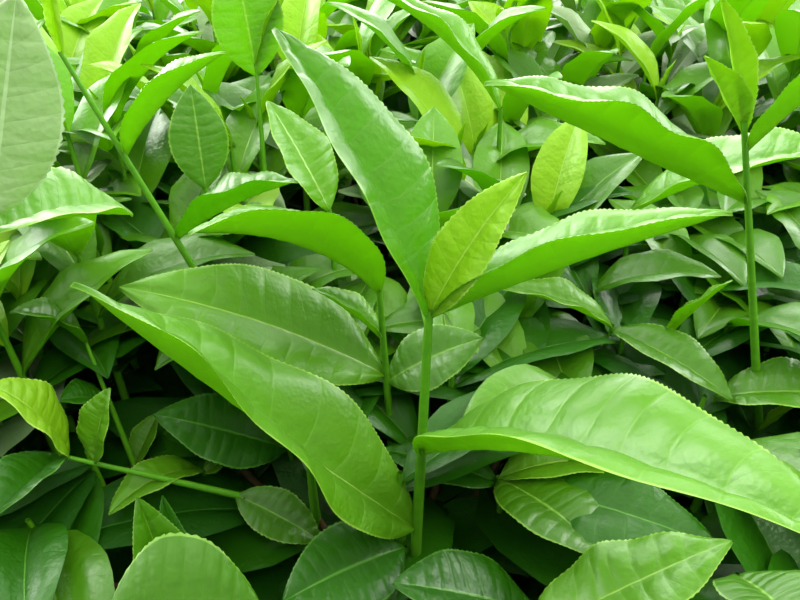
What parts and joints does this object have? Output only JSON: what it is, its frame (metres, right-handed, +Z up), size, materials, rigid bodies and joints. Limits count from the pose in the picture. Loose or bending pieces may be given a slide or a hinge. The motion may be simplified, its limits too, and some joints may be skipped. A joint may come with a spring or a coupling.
{
  "type": "tea bush",
  "caption": "Plucked tea bush with a short forked trunk, a broad flat-topped crown and young leafy shoots standing up out of it.",
  "frame": {"origin": "middle of the flat cut under the trunk, at ground level", "axes": "+Z up, along the trunk; -Y towards the front, where the tallest young shoots stand"},
  "size_m": [1.1212, 1.1195, 0.8477],
  "materials": {
    "bark": "rough grey-brown bark",
    "foliage": "glossy green leaves"
  },
  "bodies": {
    "root": {"trunk": "bark", "bough_middle": "bark", "bough_ring_1": "bark", "bough_ring_2": "bark", "bough_ring_3": "bark", "bough_ring_4": "bark", "bough_ring_5": "bark", "bough_ring_6": "bark", "branch_1": "bark", "branch_2": "bark", "branch_3": "bark", "branch_4": "bark", "branch_5": "bark", "branch_6": "bark", "branch_7": "bark", "branch_8": "bark", "branch_9": "bark", "branch_10": "bark", "branch_11": "bark", "branch_12": "bark", "foliage_middle": "foliage", "foliage_ring_1": "foliage", "foliage_ring_2": "foliage", "foliage_ring_3": "foliage", "foliage_ring_4": "foliage", "foliage_ring_5": "foliage", "foliage_ring_6": "foliage", "foliage_rim_1": "foliage", "foliage_rim_2": "foliage", "foliage_rim_3": "foliage", "foliage_rim_4": "foliage", "foliage_rim_5": "foliage", "foliage_rim_6": "foliage", "foliage_rim_7": "foliage", "foliage_rim_8": "foliage", "foliage_rim_9": "foliage", "foliage_rim_10": "foliage", "foliage_rim_11": "foliage", "foliage_rim_12": "foliage"}
  },
  "joints": []
}
